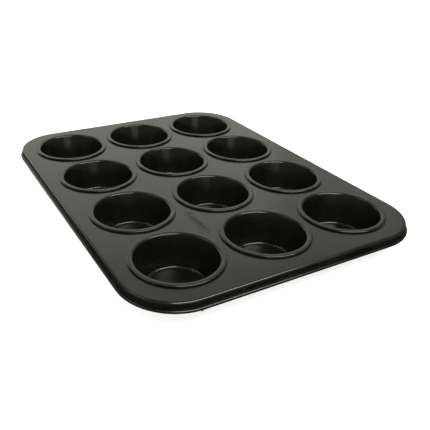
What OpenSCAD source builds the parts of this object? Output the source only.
// Twelve-cup muffin tin.
// A pressed steel deck with a skirt and a wired, rolled edge carries twelve drawn cups.
// Each cup hangs in a turned-up hole collar and is held by its own curled rim.
// The origin is on the table under the middle of the tin, +X is the long side, +Z is up.

/* [Layout] */
// Cups along the long side
cups_long = 4; // [2:1:6]
// Cups along the short side
cups_short = 3; // [2:1:4]
// Distance between the centres of neighbouring cups
pitch = 81; // [77:1:95]
// Outer cup centres to the skirt's outside, at the two ends
end_margin = 51.5; // [46:0.5:60]
// Outer cup centres to the skirt's outside, along the two long sides
side_margin = 50.5; // [46:0.5:60]

/* [Cups] */
// Height of the rim's top above the table
tin_h = 28; // [24:1:45]
// Inside radius of a cup at its mouth
mouth_r = 32.5; // [31:0.5:33.5]
// Radius of the flat part of a cup's floor
floor_r = 23.5; // [20:0.5:26]
// Inside radius of the heel between floor and wall
heel_r = 2; // [1:0.5:5]
// Thickness of the drawn cup
cup_sheet = 0.5; // [0.4:0.1:0.6]

/* [Curled rims] */
// Height of the rim above the deck
curl_h = 1.8; // [1.6:0.1:1.9]
// Radius of the inner round of the rim, at the mouth
curl_in_r = 2; // [1.8:0.1:2.2]
// Radius of the outer round of the rim
curl_out_r = 0.95; // [0.9:0.05:1.1]
// Width of the whole rim, from mouth to outside
curl_w = 5; // [4.7:0.1:5.4]

/* [Deck] */
// Thickness of the deck sheet
deck_sheet = 0.6; // [0.5:0.1:0.6]
// Outside radius of the skirt's corners, seen from above
corner_r = 44; // [25:1:46]
// Outside radius of the bend from deck to skirt
bend_r = 2; // [1.5:0.1:3]
// Drop from the deck's top to the middle of the rolled edge
bead_drop = 7; // [6:0.5:12]
// Outside radius of the rolled edge
bead_r = 1.3; // [1.3:0.1:1.6]
// Gap between a cup's wall and the collar of its hole
collar_gap = 0.8; // [0.6:0.1:1]
// How far a hole collar stands up above the deck
collar_h = 0.8; // [0.4:0.1:0.8]
// Radius of the wire in the rolled edge
wire_r = 0.65; // [0.5:0.05:0.65]

/* [Hidden] */
$fn = 96;

coating = [0.27, 0.27, 0.26];
dark_coating = [0.17, 0.17, 0.16];
wire_steel = [0.66, 0.66, 0.67];

function cup_name(i, j) = str("cup_", i, "_", j);

deck_top = tin_h - curl_h;
deck_under = deck_top - deck_sheet;
skirt_l = (cups_long - 1) * pitch + 2 * end_margin;
skirt_w = (cups_short - 1) * pitch + 2 * side_margin;
straight_l = skirt_l - 2 * corner_r;
straight_w = skirt_w - 2 * corner_r;

// A hole's edge turns up into a collar that stands inside the curl and clears the cup wall
collar_in_r = mouth_r + cup_sheet + collar_gap;
collar_out_r = collar_in_r + deck_sheet;
collar_bend_r = 0.15;
collar_root = 0.5;
hole_r = collar_out_r + collar_bend_r;

// The rolled edge is a tube tangent to the skirt's inner face, cut off at this angle
bead_x = corner_r - deck_sheet + bead_r;
bead_z = deck_top - bead_drop;
bead_end = 115;

// Extra length of a cut beyond each face of the sheet
cut_past = 1;

// Points along an arc about c, from angle a0 to a1
function arc(c, r, a0, a1, steps) =
    [for (k = [0:steps]) let (a = a0 + (a1 - a0) * k / steps) c + r * [cos(a), sin(a)]];

// Middle of the cup in column i, counted along +X, and row j, counted along +Y
function cup_place(i, j) = [
    (i - (cups_long + 1) / 2) * pitch,
    (j - (cups_short + 1) / 2) * pitch,
    0
];

function reversed(path) = [for (k = [len(path) - 1:-1:0]) path[k]];

// Middles of the three rounds in a cup's section, in [radius, height]
heel_c = [floor_r, cup_sheet + heel_r];
curl_in_c = [mouth_r + curl_in_r, tin_h - curl_in_r];
curl_out_c = [mouth_r + curl_w - curl_out_r, tin_h - curl_out_r];

// Angle that the straight wall leans out from upright, tangent to the heel and to the rim
heel_to_rim = curl_in_c - heel_c;
wall_lean = acos((heel_r + curl_in_r) / norm(heel_to_rim)) - atan2(heel_to_rim.y, heel_to_rim.x);

// Angle at which the outer round comes down onto the deck
curl_foot = asin((curl_out_r - curl_h) / curl_out_r);

// One face of the drawn cup, from the axis to the edge of the rim.
// The face is depth d below the surface that the baker sees.
function cup_face(d) = concat(
    [[0, cup_sheet - d]],
    arc(heel_c, heel_r + d, -90, -wall_lean, 7),
    arc(curl_in_c, curl_in_r - d, 180 - wall_lean, 90, 9),
    arc(curl_out_c, curl_out_r - d, 90, curl_foot, 11)
);

module cup() {
    color(dark_coating)
        rotate_extrude()
            polygon(concat(cup_face(cup_sheet), reversed(cup_face(0))));
}

// Section of the deck's border, with x measured outwards from the corner's centre
module border_section() {
    bend_c = [corner_r - bend_r, deck_top - bend_r];
    bead_c = [bead_x, bead_z];
    polygon(concat(
        [[0, deck_under], [0, deck_top]],
        arc(bend_c, bend_r, 90, 0, 9),
        arc(bead_c, bead_r - deck_sheet, 180, 360 + bead_end, 30),
        arc(bead_c, bead_r, 360 + bead_end, 180, 30),
        arc(bend_c, bend_r - deck_sheet, 0, 90, 9)
    ));
}

// Carries a section, drawn about a corner's centre, right round the tin
module round_the_edge() {
    for (end = [0, 180])
        rotate(end) {
            translate([straight_l / 2, straight_w / 2, 0])
                rotate_extrude(angle = 90) children();
            translate([-straight_l / 2, straight_w / 2, 0])
                rotate(90) rotate_extrude(angle = 90) children();
            translate([straight_l / 2, straight_w / 2, 0])
                rotate([90, 0, 0]) linear_extrude(straight_w) children();
            translate([-straight_l / 2, straight_w / 2, 0])
                rotate([90, 0, 90]) linear_extrude(straight_l) children();
        }
}

// Edge of a cup hole, turned up into a collar and rooted a little way into the flat of the deck
module collar() {
    bend_c = [hole_r, deck_top + collar_bend_r];
    rotate_extrude()
        polygon(concat(
            [[hole_r + collar_root, deck_top]],
            arc(bend_c, collar_bend_r, 270, 180, 3),
            [[collar_out_r, deck_top + collar_h], [collar_in_r, deck_top + collar_h]],
            arc(bend_c, collar_bend_r + deck_sheet, 180, 270, 6),
            [[hole_r + collar_root, deck_under]]
        ));
}

module at_each_cup() {
    for (i = [1:cups_long], j = [1:cups_short])
        translate(cup_place(i, j)) children();
}

module deck() {
    color(coating) {
        difference() {
            union() {
                round_the_edge() border_section();
                translate([-straight_l / 2, -straight_w / 2, deck_under])
                    cube([straight_l, straight_w, deck_sheet]);
            }
            at_each_cup()
                translate([0, 0, deck_under - cut_past])
                    cylinder(r = hole_r, h = deck_sheet + 2 * cut_past);
        }
        at_each_cup()
            collar();
    }
}

module rim_wire() {
    color(wire_steel)
        round_the_edge()
            translate([bead_x, bead_z])
                circle(r = wire_r, $fn = 32);
}

deck();
rim_wire();
for (i = [1:cups_long], j = [1:cups_short])
    translate(cup_place(i, j)) cup();
